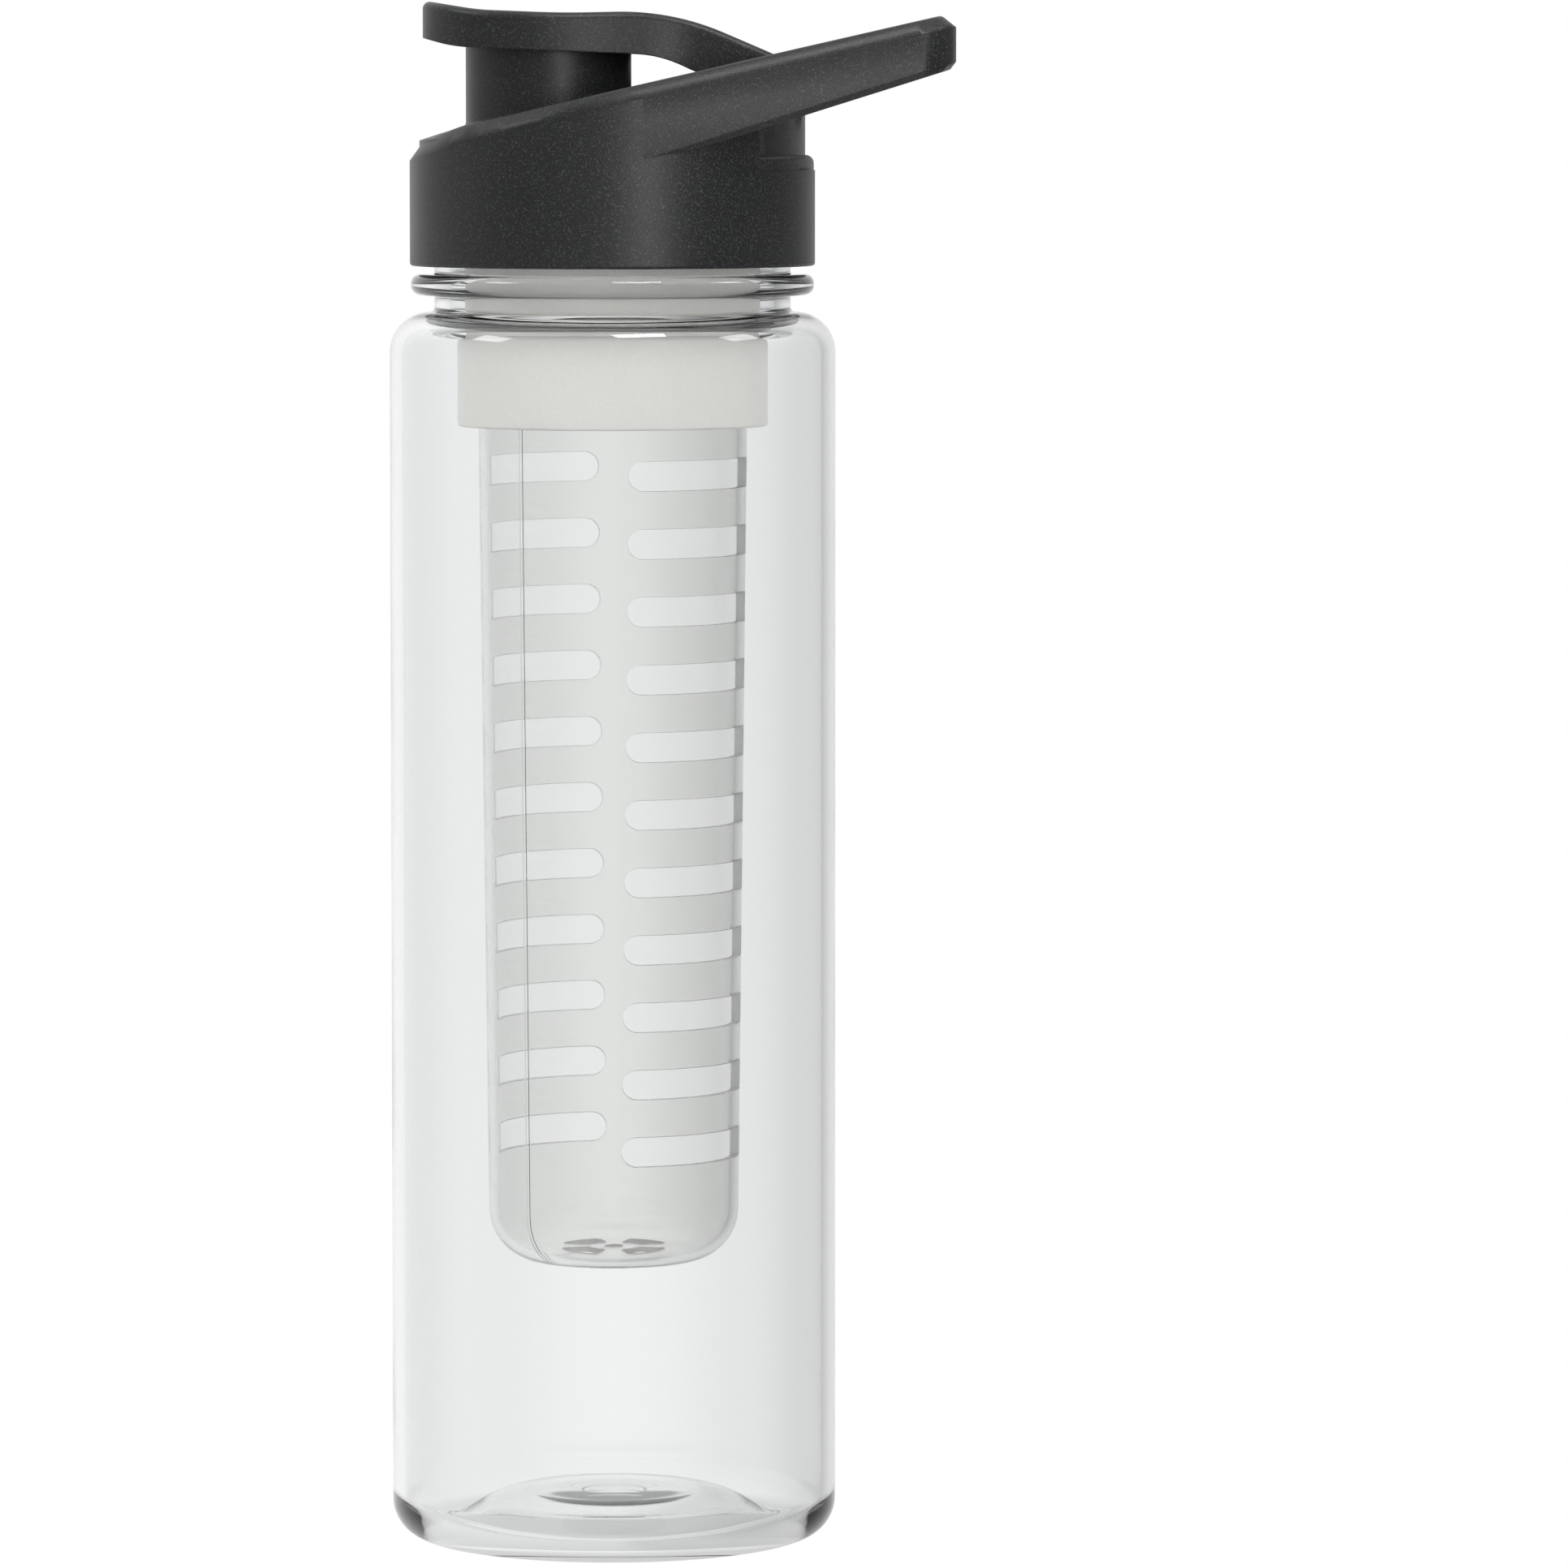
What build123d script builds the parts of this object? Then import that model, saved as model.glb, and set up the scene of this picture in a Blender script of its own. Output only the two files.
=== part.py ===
"""Fruit infuser water bottle: clear bottle, infuser cage, screw cap and flip lid.

Millimetres, +Z up. The origin is on the bottle's axis at the plane it stands on,
and the carry loop points along +X.
"""

from build123d import *
import math
import os

# Bottle body, outside and inside
bottle_radius = 37.5
bottle_wall = 2.2
base_thickness = 2.6
base_corner_radius = 6.5
foot_inner_radius = 27.5
dome_flat_radius = 18.0
dome_rise = 5.5
dome_blend_radius = 14.0
foot_edge_radius = 1.5
gate_radius = 5.3
gate_height = 0.6
shoulder_height = 207.4
shoulder_round = 6.8
neck_root_round = 0.7

# Neck finish: the support ring over the shoulder and the threaded neck over the ring
neck_radius = 29.95
neck_wall = 2.65
neck_finish_height = 15.8
rim_round = 0.5
ring_overhang = 3.95
ring_rise = 2.8
ring_thickness = 3.5
ring_round = 1.6

# Screw thread shared by the neck and the cap
thread_lead = 5.0
thread_turns = 1.75
thread_root_width = 1.9
thread_crest_width = 0.9
thread_sink = 0.3
neck_thread_depth = 1.1
neck_thread_rise = 4.9
cap_thread_depth = 1.15
thread_flank_gap = 0.5
thread_wall_gap = 1.65

# Seals and the collar flange that stack on the neck rim
neck_seal_thickness = 1.0
neck_seal_margin = 0.2
flange_thickness = 1.5
flange_margin = 0.25
cap_seal_thickness = 1.2
cap_seal_width = 6.4
cap_seal_margin = 0.3
seal_face_gap = 0.05

# Infuser collar
collar_drum_clearance = 1.2
collar_drum_wall = 3.4
collar_drum_length = 16.3
collar_drum_round = 1.1
collar_edge_round = 0.5
collar_sleeve_length = 26.0
collar_sleeve_inset = 1.3
collar_guide_clearance = 0.3
collar_guide_height = 3.5
collar_stop_width = 1.1
tube_socket_depth = 16.0

# Infuser tube
tube_length = 157.05
tube_taper = 1.6
tube_wall = 1.5
tube_corner_radius = 9.0
tube_socket_gap = 0.1
tube_end_gap = 0.15
snap_bead_height = 0.5
snap_bead_width = 1.6
snap_bead_drop = 3.0
snap_groove_clearance = 0.15

# Slots through the tube wall, one column in each half
slot_count = 11
slot_top_drop = 7.7
slot_pitch = 11.3
slot_width = 5.0
slot_edge_top = 2.95
slot_edge_bottom = 1.65
slot_parting_web = 0.4
slot_round_share = 0.499
drain_hole_radius = 1.6
drain_arc_inner_radius = 4.4
drain_arc_outer_radius = 9.4
drain_arc_count = 4
drain_arc_span = 58.0
drain_arc_round = 1.0

# Cap skirt, with a fine step and a rounded shoulder where it shows in the recess
cap_skirt_wall = 2.45
cap_ring_gap = 1.4
cap_edge_round = 0.5
cap_shoulder_rise = 0.4
cap_shoulder_round = 1.4
skirt_step = 0.2
skirt_step_drop = 2.55

# Drum under the loop, its domed deck and the recess behind the loop's root
drum_inset = 1.65
recess_x = 24.8
chamber_ledge = 7.2
deck_sphere_radius = 130.0
deck_apex_x = 10.0
deck_rise = 9.95
deck_thickness = 2.4

# Carry loop: a slanted ring that grows out of the drum
loop_reach = 23.35
loop_tangent_x = 5.6
loop_corner_radius = 7.0
loop_band = 4.9
loop_end_band = 5.0
loop_inner_corner_radius = 4.5
loop_rise = 11.75
loop_reference_x = 3.1
loop_top_angle = 12.88
loop_nose_angle = 20.0
loop_nose_length = 10.0
loop_nose_round = 30.0
loop_root_drop = 1.25
loop_underside_angle = 17.4
loop_top_chamfer = 2.5
loop_crest_round = 1.2
loop_underside_chamfer = 1.0
loop_inner_chamfer = 0.8

# Spout, with a conical mouth
spout_chamber_overlap = 0.2
spout_radius = 13.9
spout_height = 11.0
spout_bore_radius = 10.2
spout_root_round = 0.8
spout_rim_round = 0.4
spout_rim_width = 0.8
spout_mouth_depth = 1.3

# Hinge between the cap and the flip lid
hinge_inset = 2.9
hinge_rise = 3.6
knuckle_radius = 2.7
barrel_width = 10.0
barrel_post_depth = 4.2
knuckle_side_gap = 0.4
knuckle_arm = 2.2
knuckle_skin = 1.4
pin_radius = 1.0
pin_running_gap = 0.05
pin_end_recess = 0.3

# Flip lid
lid_seat_gap = 0.45
lid_panel_thickness = 2.95
lid_nose = 7.2
lid_side_overhang = 3.4
lid_waist_share = 0.715
lid_waist_half_width = 13.0
lid_hinge_half_width = 13.75
lid_straight_length = 4.5
lid_rim_wall = 2.0
lid_edge_round = 1.2
lid_window_length = 6.4
lid_window_rear_gap = 4.1
lid_crossbar = 1.8
plug_top_gap = 0.2
plug_tip_gap = 0.85
plug_depth = 6.0
plug_wall = 1.3
plug_tip_round = 0.4

# Side outline of the lid: shares of its length from the nose and of its rise above the hinge,
# then the corner rounding as a share of the lid's length. The first and last lie beyond the tip.
lid_top_shares = [
    (-0.03, 1.205, 0), (0.157, 1.03, 0.65), (0.388, 0.975, 2.4), (0.686, 1.015, 0.7)]
lid_low_shares = [
    (0.878, -0.1, 0.1), (0.749, 0.065, 0.15), (0.65, 0.331, 0.35), (0.09, 0.457, 0.4),
    (-0.03, 0.641, 0)]

# One overrun serves every cut
overrun = 5.0
join_tolerance = 1e-6

# Steepest lie that still counts as level, and the places where an edge is sampled
level_angle = 25.0
bevel_angle = 60.0
upright_angle = 87.0
sample_shares = [0, 0.3, 0.7, 1]

# Radii that follow from the neck
neck_bore_radius = neck_radius - neck_wall
ring_radius = neck_radius + ring_overhang
collar_drum_radius = neck_bore_radius - collar_drum_clearance
collar_sleeve_radius = collar_drum_radius - collar_sleeve_inset
socket_radius = collar_drum_radius - collar_drum_wall
tube_top_radius = socket_radius - tube_socket_gap
collar_opening_radius = socket_radius - collar_stop_width
cap_bore_radius = neck_radius + thread_wall_gap
cap_radius = cap_bore_radius + cap_skirt_wall
drum_radius = cap_radius - drum_inset
chamber_radius = cap_bore_radius - chamber_ledge

# Heights that stack from the shoulder up, and hang down from the rim
ring_bottom = shoulder_height + ring_rise
ring_top = ring_bottom + ring_thickness
rim_height = ring_top + neck_finish_height
neck_thread_start = ring_top + neck_thread_rise
flange_bottom = rim_height + neck_seal_thickness
flange_top = flange_bottom + flange_thickness
collar_drum_top = flange_bottom - collar_sleeve_length
collar_drum_bottom = collar_drum_top - collar_drum_length
tube_top = collar_drum_bottom + tube_socket_depth - tube_end_gap
tube_bottom = tube_top - tube_length
slot_top_centre = collar_drum_bottom - slot_top_drop
cap_bottom = ring_top + cap_ring_gap
cap_ledge = flange_top + cap_seal_thickness + seal_face_gap
cap_shoulder = cap_ledge + cap_shoulder_rise
loop_top = cap_ledge + loop_rise
loop_underside = cap_ledge - loop_root_drop
deck_apex_z = cap_ledge + deck_rise
deck_centre_z = deck_apex_z - deck_sphere_radius
spout_top = deck_apex_z + spout_height
hinge_z = deck_apex_z + hinge_rise
lid_seat = spout_top + lid_seat_gap
lid_rise = lid_seat + lid_panel_thickness - hinge_z

# Places along the cap, from the spout to the loop's end
spout_x = spout_radius - spout_chamber_overlap - chamber_radius
hinge_x = drum_radius - hinge_inset
loop_end_x = cap_radius + loop_reach
loop_inner_end_x = loop_end_x - loop_end_band
lid_tip_x = spout_x - spout_radius - lid_nose
lid_length = hinge_x - lid_tip_x
lid_half_width = spout_radius + lid_side_overhang
lid_window_front = hinge_x - lid_window_rear_gap - lid_window_length
knuckle_gap_half_width = barrel_width / 2 + knuckle_side_gap
knuckle_arm_half_width = knuckle_gap_half_width + knuckle_arm


def unit(vector):
    """Return the vector at length one."""
    return vector * (1 / vector.length)


def rounded_outline(corners):
    """Return a closed wire through 3-D corners, each (point, radius), with rounded corners."""
    count = len(corners)
    spans = []
    for index, (point, radius) in enumerate(corners):
        corner = Vector(*point)
        if radius == 0:
            spans.append((corner, None, corner))
            continue
        back = unit(Vector(*corners[index - 1][0]) - corner)
        ahead = unit(Vector(*corners[(index + 1) % count][0]) - corner)
        half_angle = back.get_angle(ahead) * math.pi / 360
        reach = radius / math.tan(half_angle)
        inward = unit(back + ahead)
        middle = corner + inward * (radius / math.sin(half_angle) - radius)
        spans.append((corner + back * reach, middle, corner + ahead * reach))
    edges = []
    for index, (start, middle, end) in enumerate(spans):
        if middle is not None:
            edges.append(ThreePointArc(start, middle, end))
        next_start = spans[(index + 1) % count][0]
        if (next_start - end).length > join_tolerance:
            edges.append(Line(end, next_start))
    return Wire(edges)


def turned(profile):
    """Return the solid of revolution of (radius, height, corner radius) rows about Z."""
    corners = [((radius, 0, height), rounding) for radius, height, rounding in profile]
    return revolve(Face(rounded_outline(corners)), Axis.Z, 360)


def drum(radius, bottom, top, x=0):
    """Return an upright round bar between two heights."""
    return Pos(x, 0, bottom) * extrude(Circle(radius), top - bottom)


def slab_below(height, reference_x, angle):
    """Return a large block whose slanted top passes through a height at a given x."""
    reach = 4 * loop_end_x
    block = Pos(0, 0, -reach / 2) * Box(2 * reach, 2 * reach, reach)
    return Pos(reference_x, 0, height) * Rot(0, -angle, 0) * block


def thread_ridge(root_radius, depth, start_height, inward):
    """Return a helical ridge whose root is sunk a little into the wall that carries it."""
    sign = -1 if inward else 1
    path_radius = root_radius - sign * thread_sink
    path = Helix(thread_lead, thread_lead * thread_turns, path_radius)
    plane = Plane(origin=path @ 0, x_dir=(1, 0, 0), z_dir=path % 0)
    crest = sign * (depth + thread_sink)
    half_root = thread_root_width / 2
    half_crest = thread_crest_width / 2
    section = make_face(Polyline(
        (0, -half_root), (crest, -half_crest), (crest, half_crest), (0, half_root), close=True))
    ridge = sweep(plane * section, path=path, is_frenet=True)
    return Pos(0, 0, start_height) * ridge


def make_bottle_body():
    """Return the clear bottle: push-up base, straight wall, shoulder, ring and threaded neck."""
    inner_radius = bottle_radius - bottle_wall
    inner_shoulder = shoulder_height - bottle_wall
    inner_floor = dome_rise + base_thickness
    profile = [
        (0, dome_rise - gate_height, 0),
        (gate_radius, dome_rise - gate_height, 0),
        (gate_radius, dome_rise, 0),
        (dome_flat_radius, dome_rise, dome_blend_radius),
        (foot_inner_radius, 0, foot_edge_radius),
        (bottle_radius, 0, base_corner_radius),
        (bottle_radius, shoulder_height, shoulder_round),
        (neck_radius, shoulder_height, neck_root_round),
        (neck_radius, ring_bottom, 0),
        (ring_radius, ring_bottom, ring_round),
        (ring_radius, ring_top, ring_round),
        (neck_radius, ring_top, 0),
        (neck_radius, rim_height, rim_round),
        (neck_bore_radius, rim_height, rim_round),
        (neck_bore_radius, inner_shoulder, foot_edge_radius),
        (inner_radius, inner_shoulder, shoulder_round - bottle_wall),
        (inner_radius, base_thickness, base_corner_radius - bottle_wall / 2),
        (foot_inner_radius + bottle_wall / 2, base_thickness, foot_edge_radius),
        (dome_flat_radius + gate_height, inner_floor, dome_blend_radius),
        (0, inner_floor, 0),
    ]
    body = turned(profile)
    ridge = thread_ridge(neck_radius, neck_thread_depth, neck_thread_start, inward=False)
    return body + ridge


def make_neck_seal():
    """Return the soft ring between the neck rim and the collar flange."""
    inner = neck_bore_radius + neck_seal_margin
    outer = neck_radius - neck_seal_margin
    return drum(outer, rim_height, flange_bottom) - drum(inner, rim_height - overrun, flange_top)


def make_infuser_collar():
    """Return the white collar: flange, guide and sleeve above, drum with tube socket below."""
    guide_radius = neck_bore_radius - collar_guide_clearance
    socket_top = collar_drum_bottom + tube_socket_depth
    groove_top = tube_top - snap_bead_drop + snap_groove_clearance
    groove_bottom = tube_top - snap_bead_drop - snap_bead_width - snap_groove_clearance
    groove_radius = tube_top_radius + snap_bead_height + snap_groove_clearance
    profile = [
        (collar_opening_radius, flange_top, collar_edge_round),
        (neck_radius - flange_margin, flange_top, collar_edge_round),
        (neck_radius - flange_margin, flange_bottom, 0),
        (guide_radius, flange_bottom, 0),
        (guide_radius, flange_bottom - collar_guide_height, collar_edge_round),
        (collar_sleeve_radius, flange_bottom - collar_guide_height, collar_edge_round),
        (collar_sleeve_radius, collar_drum_top, collar_edge_round),
        (collar_drum_radius, collar_drum_top, collar_drum_round),
        (collar_drum_radius, collar_drum_bottom, collar_edge_round),
        (socket_radius, collar_drum_bottom, collar_edge_round),
        (socket_radius, groove_bottom, 0),
        (groove_radius, groove_bottom, 0),
        (groove_radius, groove_top, 0),
        (socket_radius, groove_top, 0),
        (socket_radius, socket_top, 0),
        (collar_opening_radius, socket_top, 0),
    ]
    return turned(profile)


def tube_radius_at(height):
    """Return the outer radius of the tapered tube at a height."""
    share = (collar_drum_bottom - height) / (collar_drum_bottom - tube_bottom)
    return tube_top_radius - tube_taper * max(share, 0)


def make_slot(centre, edge):
    """Return the cutter for one slot in the front half, round at its inner end."""
    reach = tube_top_radius + overrun
    length = reach - edge
    stadium = Pos(edge + length / 2, centre) * RectangleRounded(
        length, slot_width, slot_width * slot_round_share)
    cutter = extrude(Plane.XZ * stadium, reach)
    return Pos(0, -slot_parting_web, 0) * cutter


def make_slot_cutters():
    """Return the cutters of both slot columns, the rear one half a turn round."""
    cutters = []
    for index in range(slot_count):
        share = index / max(slot_count - 1, 1)
        edge = slot_edge_top + (slot_edge_bottom - slot_edge_top) * share
        front = make_slot(slot_top_centre - slot_pitch * index, edge)
        cutters += [front, Rot(0, 0, 180) * front]
    return cutters


def make_drain_cutters():
    """Return the cutters for the centre hole and the curved holes in the tube's base."""
    top = tube_bottom + tube_corner_radius
    cutters = [drum(drain_hole_radius, tube_bottom - overrun, top)]
    ring = Circle(drain_arc_outer_radius) - Circle(drain_arc_inner_radius)
    half = math.radians(drain_arc_span / 2)
    far = drain_arc_outer_radius / math.cos(half) + overrun
    wedge = make_face(Polyline(
        (0, 0), (far, -far * math.tan(half)), (far, far * math.tan(half)), close=True))
    sector = ring & wedge
    sector = fillet(sector.vertices(), drain_arc_round)
    for index in range(drain_arc_count):
        turn = Rot(0, 0, 360 / drain_arc_count * (index + 1 / 2))
        column = extrude(sector, top - tube_bottom + overrun)
        cutters.append(Pos(0, 0, tube_bottom - overrun) * turn * column)
    return cutters


def make_infuser_tube():
    """Return the clear slotted tube with its snap bead and drained base."""
    bottom_radius = tube_radius_at(tube_bottom)
    bead_top = tube_top - snap_bead_drop
    bead_bottom = bead_top - snap_bead_width
    bead_radius = tube_top_radius + snap_bead_height
    profile = [
        (0, tube_bottom, 0),
        (bottom_radius, tube_bottom, tube_corner_radius),
        (tube_top_radius, collar_drum_bottom, 0),
        (tube_top_radius, bead_bottom, 0),
        (bead_radius, bead_bottom, snap_bead_height / 2),
        (bead_radius, bead_top, snap_bead_height / 2),
        (tube_top_radius, bead_top, 0),
        (tube_top_radius, tube_top, 0),
        (tube_top_radius - tube_wall, tube_top, 0),
        (tube_top_radius - tube_wall, collar_drum_bottom, 0),
        (bottom_radius - tube_wall, tube_bottom + tube_wall, tube_corner_radius - tube_wall),
        (0, tube_bottom + tube_wall, 0),
    ]
    tube = turned(profile)
    return tube - make_slot_cutters() - make_drain_cutters()


def loop_outline(inset, end_x, corner_radius):
    """Return the plan of the slanted ring: a circle whose tangents run out to the loop's end."""
    radius = cap_radius - inset
    angle = math.asin(loop_tangent_x / cap_radius)
    start = Vector(radius * math.sin(angle), radius * math.cos(angle), 0)
    corner = Vector(end_x, start.Y - (end_x - start.X) * math.tan(angle), 0)
    arc = ThreePointArc((start.X, -start.Y), (-radius, 0), (start.X, start.Y))
    sides = FilletPolyline(
        start, (corner.X, corner.Y), (corner.X, -corner.Y), (start.X, -start.Y), radius=corner_radius)
    return make_face([arc, sides])


def loop_top_at(x):
    """Return the height of the loop's slanted top plane at a given x."""
    return loop_top + (x - loop_reference_x) * math.tan(math.radians(loop_top_angle))


def make_loop_bar():
    """Return a bar across the cap with the loop's side outline, steeper at its low end."""
    low = cap_bottom - overrun
    rear_x = loop_end_x + overrun
    nose_x = loop_nose_length - cap_radius
    front_x = -cap_radius - overrun
    drop = (nose_x - front_x) * math.tan(math.radians(loop_nose_angle))
    face = Face(rounded_outline([
        ((front_x, 0, low), 0),
        ((front_x, 0, loop_top_at(nose_x) - drop), 0),
        ((nose_x, 0, loop_top_at(nose_x)), loop_nose_round),
        ((rear_x, 0, loop_top_at(rear_x)), 0),
        ((rear_x, 0, low), 0),
    ]))
    return extrude(face, cap_radius + overrun, dir=(0, 1, 0), both=True)


def lean(face):
    """Return the angle of a face's outward normal from straight up, in degrees."""
    return face.normal_at().get_angle(Vector(0, 0, 1))


def is_level(face):
    """Return whether a face lies on top and is nearly level."""
    return lean(face) < level_angle


def is_bevel(face):
    """Return whether a face slopes between level and upright."""
    return level_angle <= lean(face) < bevel_angle


def faces_upwards(face):
    """Return whether a face lies on top, level or sloped."""
    return lean(face) < bevel_angle


def is_upright(face):
    """Return whether a face is a wall."""
    return upright_angle < lean(face) < 180 - upright_angle


def faces_hole(face):
    """Return whether a face is a wall that faces the loop's middle."""
    outwards = face.center() - Vector(loop_tangent_x, 0, face.center().Z)
    return is_upright(face) and face.normal_at().dot(outwards) < 0


def edges_between(shape, first, second):
    """Return the edges where a face that passes the first test meets one that passes the second."""
    ones = [edge for face in shape.faces() if first(face) for edge in face.edges()]
    others = [edge for face in shape.faces() if second(face) for edge in face.edges()]
    return [edge for edge in ones if any(edge.is_same(other) for other in others)]


def is_spout_foot(edge):
    """Return whether an edge is where the spout's outer wall meets the deck."""
    points = [edge @ share for share in sample_shares]
    offsets = [math.hypot(point.X - spout_x, point.Y) - spout_radius for point in points]
    on_wall = max(abs(offset) for offset in offsets) < join_tolerance * spout_radius
    return on_wall and max(point.Z for point in points) < hinge_z


def make_loop_slab():
    """Return the slanted ring, its upper, lower and inner edges chamfered."""
    low = cap_bottom - overrun
    high = loop_top_at(loop_end_x + overrun)
    column = Pos(0, 0, low) * extrude(loop_outline(0, loop_end_x, loop_corner_radius), high - low)
    slab = column & make_loop_bar()
    slab -= slab_below(loop_underside, loop_tangent_x, loop_underside_angle)
    slab = chamfer(edges_between(slab, faces_upwards, is_upright), loop_top_chamfer)
    slab = fillet(edges_between(slab, is_level, is_bevel), loop_crest_round)
    low_face = max(slab.faces(), key=lean)
    slab = chamfer(low_face.edges(), loop_underside_chamfer)
    inside = loop_outline(loop_band, loop_inner_end_x, loop_inner_corner_radius)
    slab -= Pos(0, 0, low) * extrude(inside, high - low)
    return chamfer(edges_between(slab, faces_upwards, faces_hole), loop_inner_chamfer)


def make_deck():
    """Return the drum under the loop, closed by the gently domed deck.

    Beside the loop's root the drum is as wide as the skirt, up to the recess behind it.
    """
    low = cap_bottom + overrun
    wide = drum(cap_radius, low, hinge_z)
    length = recess_x + overrun
    wide &= Pos(recess_x - length / 2, 0, low) * Box(length, 2 * cap_radius, 2 * hinge_z)
    dome = Pos(deck_apex_x, 0, deck_centre_z) * Sphere(deck_sphere_radius)
    return (drum(drum_radius, low, hinge_z) + wide) & dome


def make_cap_shell():
    """Return the cap's outer form before its inside is hollowed."""
    step_z = cap_shoulder - skirt_step_drop
    skirt = turned([
        (0, cap_bottom, 0),
        (cap_radius, cap_bottom, cap_edge_round),
        (cap_radius, step_z, 0),
        (cap_radius - skirt_step, step_z, 0),
        (cap_radius - skirt_step, cap_shoulder, cap_shoulder_round),
        (0, cap_shoulder, 0),
    ])
    return skirt + make_loop_slab() + make_deck()


def make_hinge_post():
    """Return the cap's hinge barrel on its post."""
    barrel = Pos(hinge_x, 0, hinge_z) * Rot(90, 0, 0) * Cylinder(knuckle_radius, barrel_width)
    height = hinge_z - cap_shoulder
    post = Pos(hinge_x, 0, hinge_z - height / 2) * Box(barrel_post_depth, barrel_width, height)
    return barrel + post


def make_spout():
    """Return the spout as a bar with a rounded rim, before it is bored."""
    return Pos(spout_x, 0, 0) * turned([
        (0, cap_shoulder, 0),
        (spout_radius, cap_shoulder, 0),
        (spout_radius, spout_top, spout_rim_round),
        (0, spout_top, 0),
    ])


def make_spout_bore():
    """Return the cutter for the spout's bore and its conical mouth."""
    mouth_radius = spout_radius - spout_rim_width
    return Pos(spout_x, 0, 0) * turned([
        (0, cap_ledge, 0),
        (spout_bore_radius, cap_ledge, 0),
        (spout_bore_radius, spout_top - spout_mouth_depth, 0),
        (mouth_radius, spout_top, 0),
        (mouth_radius, spout_top + overrun, 0),
        (0, spout_top + overrun, 0),
    ])


def make_screw_cap():
    """Return the cap: threaded skirt, domed deck, spout, hinge barrel and carry loop."""
    cap = make_cap_shell() + make_spout()
    cap = fillet([edge for edge in cap.edges() if is_spout_foot(edge)], spout_root_round)
    cap += make_hinge_post()
    cap -= drum(cap_bore_radius, cap_bottom - overrun, cap_ledge)
    ceiling = Pos(deck_apex_x, 0, deck_centre_z) * Sphere(deck_sphere_radius - deck_thickness)
    cap -= drum(chamber_radius, cap_ledge - overrun, spout_top) & ceiling
    cap -= make_spout_bore()
    pin_bore = Pos(hinge_x, 0, hinge_z) * Rot(90, 0, 0) * Cylinder(pin_radius, 2 * barrel_width)
    cap -= pin_bore
    half_widths = (thread_root_width + thread_crest_width) / 2
    start = neck_thread_start - half_widths - thread_flank_gap
    cap += thread_ridge(cap_bore_radius, cap_thread_depth, start, inward=True)
    return cap


def make_cap_seal():
    """Return the soft washer trapped under the cap's ledge."""
    outer = cap_bore_radius - cap_seal_margin
    seal = drum(outer, flange_top, flange_top + cap_seal_thickness)
    return seal - drum(outer - cap_seal_width, flange_top - overrun, cap_ledge + overrun)


def make_hinge_pin():
    """Return the steel pin, held in the cap's barrel and running in the lid's two arms."""
    length = 2 * (knuckle_arm_half_width - pin_end_recess)
    return Pos(hinge_x, 0, hinge_z) * Rot(90, 0, 0) * Cylinder(pin_radius, length)


def lid_plan(inset):
    """Return the lid's egg-shaped plan, narrowed by an inset, ending on the hinge axis."""
    half_width = lid_half_width - inset
    waist_x = lid_tip_x + lid_length * lid_waist_share
    straight_x = hinge_x - lid_straight_length
    rear_half_width = lid_hinge_half_width - inset
    nose = EllipticalCenterArc(
        (spout_x, 0), spout_x - lid_tip_x - inset, half_width, start_angle=90, arc_size=180)
    sides = []
    for side in (1, -1):
        sides.append(Spline(
            (spout_x, side * half_width),
            (waist_x, side * (lid_waist_half_width - inset)),
            (straight_x, side * rear_half_width),
            tangents=[(1, 0), (1, 0)]))
        sides.append(Line((straight_x, side * rear_half_width), (hinge_x, side * rear_half_width)))
    rear = Line((hinge_x, -rear_half_width), (hinge_x, rear_half_width))
    return make_face([nose, rear] + sides)


def lid_side_point(along_share, rise_share, drop=0):
    """Return a point of the lid's side outline in the XZ plane."""
    return lid_tip_x + lid_length * along_share, 0, hinge_z + lid_rise * rise_share - drop


def lid_prism(corners):
    """Return a bar across the lid with the given side outline."""
    face = Face(rounded_outline(corners))
    reach = lid_half_width + overrun
    return extrude(face, reach, dir=(0, 1, 0), both=True)


def make_lid_blank():
    """Return the lid's solid outer form: its side outline cut to its plan."""
    corners = [
        (lid_side_point(along, rise), lid_length * rounding)
        for along, rise, rounding in lid_top_shares]
    corners.append(((hinge_x, 0, hinge_z + knuckle_radius), 0))
    corners.append(((hinge_x, 0, hinge_z - knuckle_radius), 0))
    corners += [
        (lid_side_point(along, rise), lid_length * rounding)
        for along, rise, rounding in lid_low_shares]
    height = 4 * lid_rise
    column = Pos(0, 0, hinge_z - height / 2) * extrude(lid_plan(0), height)
    blank = lid_prism(corners) & column
    return fillet(edges_between(blank, faces_upwards, is_upright), lid_edge_round)


def make_lid_cavity():
    """Return the hollow under the lid's panel, inside its rim."""
    ceiling = [
        (lid_side_point(along, rise, lid_panel_thickness), lid_length * rounding)
        for along, rise, rounding in lid_top_shares[1:]]
    floor_z = hinge_z - lid_rise
    reach = knuckle_radius - knuckle_skin
    nose = lid_side_point(*lid_top_shares[0][:2], lid_panel_thickness)
    corners = [((lid_tip_x, 0, floor_z), 0), (nose, 0)] + ceiling
    corners.append(((hinge_x, 0, hinge_z + reach), 0))
    corners.append(((hinge_x, 0, floor_z), 0))
    height = 4 * lid_rise
    column = Pos(0, 0, hinge_z - height / 2) * extrude(lid_plan(lid_rim_wall), height)
    pocket = Pos(hinge_x - knuckle_radius / 2, 0, hinge_z + reach - height / 2) * Box(
        2 * reach + knuckle_radius, 2 * (lid_hinge_half_width - lid_rim_wall), height)
    frame_front = lid_window_front - lid_crossbar
    frame = Pos(frame_front + lid_length / 2, 0, hinge_z) * Box(
        lid_length, 2 * knuckle_arm_half_width, height)
    return (lid_prism(corners) & column) + pocket - frame


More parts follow.
